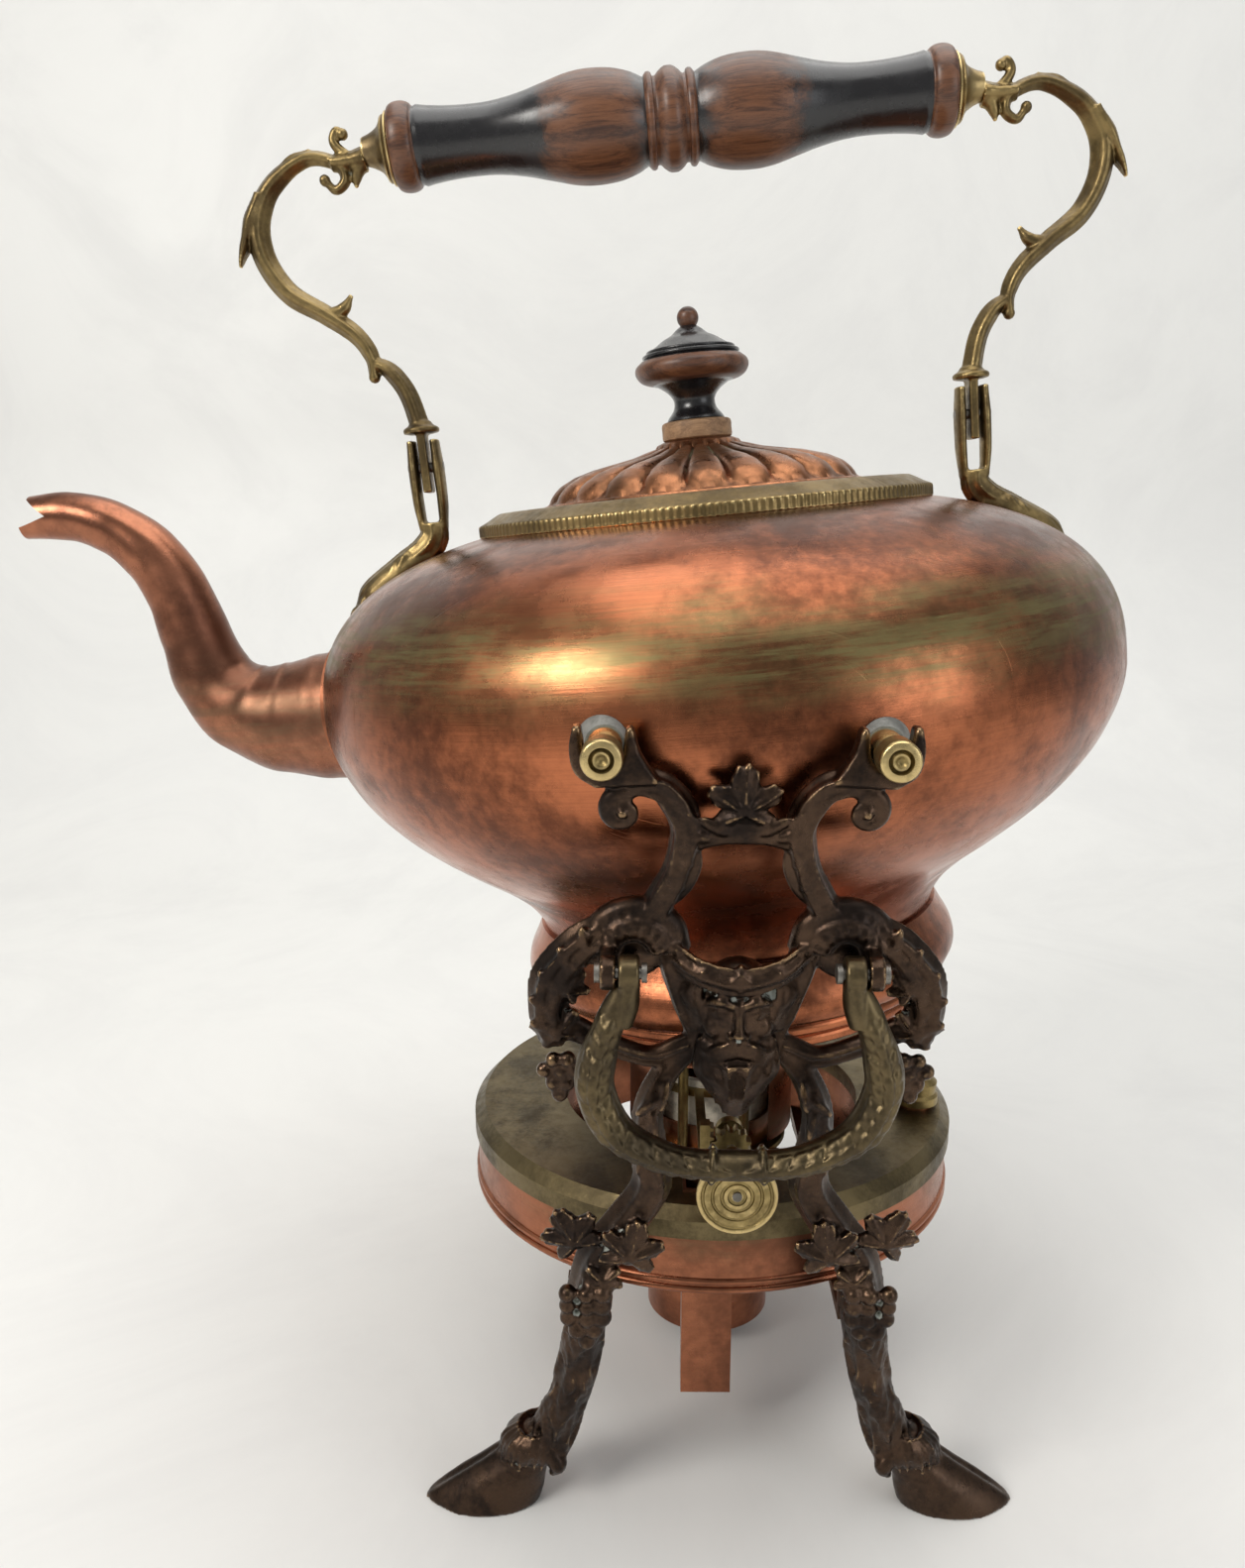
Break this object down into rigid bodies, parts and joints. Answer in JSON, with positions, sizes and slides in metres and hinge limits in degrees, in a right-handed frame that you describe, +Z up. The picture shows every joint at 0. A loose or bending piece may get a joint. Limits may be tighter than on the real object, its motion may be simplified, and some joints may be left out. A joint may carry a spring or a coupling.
{
  "type": "spirit kettle",
  "caption": "Copper kettle with swan-neck spout, gadrooned lift-off lid and folding scroll handle, tilting on a cast goat-legged stand over a round-wick burner.",
  "frame": {"origin": "on the table, under the middle of the whole's length and width; the stand's own middle, midway between the side frames and between the support pins, is 38.9 mm from it towards +X", "axes": "+Z up, +X away from the spout along the grip, -Y towards the burner's winder"},
  "size_m": [0.2794, 0.234, 0.3413],
  "materials": {
    "worn_copper": "worn polish under brown and olive patina",
    "antique_brass": "dull, tarnished in the recesses",
    "dark_bronze": "dark reddish lacquer with pale residue in the recesses",
    "ebonised_wood": "black stain worn to brown on the high parts",
    "bare_wood": "unstained",
    "steel": "dull",
    "cotton": "woven"
  },
  "bodies": {
    "stand": {"front_frame": "dark_bronze", "back_frame": "dark_bronze", "ring_pins": "steel", "stretcher_left": "dark_bronze", "stretcher_right": "dark_bronze", "stretcher_screws": "steel", "tank_shell": "worn_copper", "tank_top": "antique_brass", "rack_casing": "worn_copper", "burner_well": "worn_copper", "air_tube": "worn_copper", "burner_flange": "antique_brass", "feed_tubes": "worn_copper", "hood_posts": "antique_brass", "burner_hood": "worn_copper", "filler_neck": "worn_copper", "winder_bearings": "antique_brass"},
    "kettle": {"kettle_body": "worn_copper", "foot_ring": "worn_copper", "mouth_collar": "antique_brass", "spout": "worn_copper", "spout_flange": "worn_copper", "bracket_left": "antique_brass", "bracket_right": "antique_brass", "support_pins": "antique_brass", "pin_bosses": "antique_brass", "hinge_pins": "steel"},
    "handle": {"arm_left": "antique_brass", "arm_right": "antique_brass", "ferrule_left": "antique_brass", "ferrule_right": "antique_brass", "grip": "ebonised_wood", "tie_rod": "steel"},
    "lid": {"lid": "worn_copper", "knob_base": "bare_wood", "lid_knob": "ebonised_wood", "knob_washer": "steel", "knob_screw": "steel"},
    "front_ring": {"front_ring": "antique_brass"},
    "back_ring": {"back_ring": "antique_brass"},
    "winder": {"winder_shaft": "steel", "winder_disc": "antique_brass", "pinion": "antique_brass"},
    "wick": {"wick": "cotton", "wick_carrier": "antique_brass", "wick_rack": "antique_brass"},
    "filler_cap": {"filler_cap": "antique_brass"}
  },
  "joints": [
    {"name": "kettle_tilt", "type": "hinge", "parent": "stand", "child": "kettle", "pos_m": [0.01289, 0, 0.191], "axis": [0, -1, 0], "range_deg": [0, 50]},
    {"name": "handle_fold", "type": "hinge", "parent": "kettle", "child": "handle", "pos_m": [0.03273, 0, 0.25119], "axis": [0.995, 0, 0.1002], "range_deg": [-85, 85]},
    {"name": "lid_lift", "type": "slide", "parent": "kettle", "child": "lid", "axis": [-0.1002, 0, 0.995], "range_m": [0, 0.025]},
    {"name": "front_ring_swing", "type": "hinge", "parent": "stand", "child": "front_ring", "pos_m": [0.03889, -0.10665, 0.14836], "axis": [-1, 0, 0], "range_deg": [0, 100]},
    {"name": "back_ring_swing", "type": "hinge", "parent": "stand", "child": "back_ring", "pos_m": [0.03889, 0.10665, 0.14836], "axis": [1, 0, 0], "range_deg": [0, 100]},
    {"name": "wick_winder", "type": "hinge", "parent": "stand", "child": "winder", "pos_m": [0.04129, -0.06, 0.0845], "axis": [0, 1, 0], "range_deg": [-37, 74]},
    {"name": "wick_lift", "type": "slide", "parent": "stand", "child": "wick", "axis": [0, 0, 1], "range_m": [-0.003, 0.006]},
    {"name": "filler_cap_lift", "type": "slide", "parent": "stand", "child": "filler_cap", "axis": [0, 0, 1], "range_m": [0, 0.01]}
  ],
  "couplings": [
    {"joint": "wick_lift", "follows": "wick_winder", "m_per_rad": 0.0045837}
  ]
}
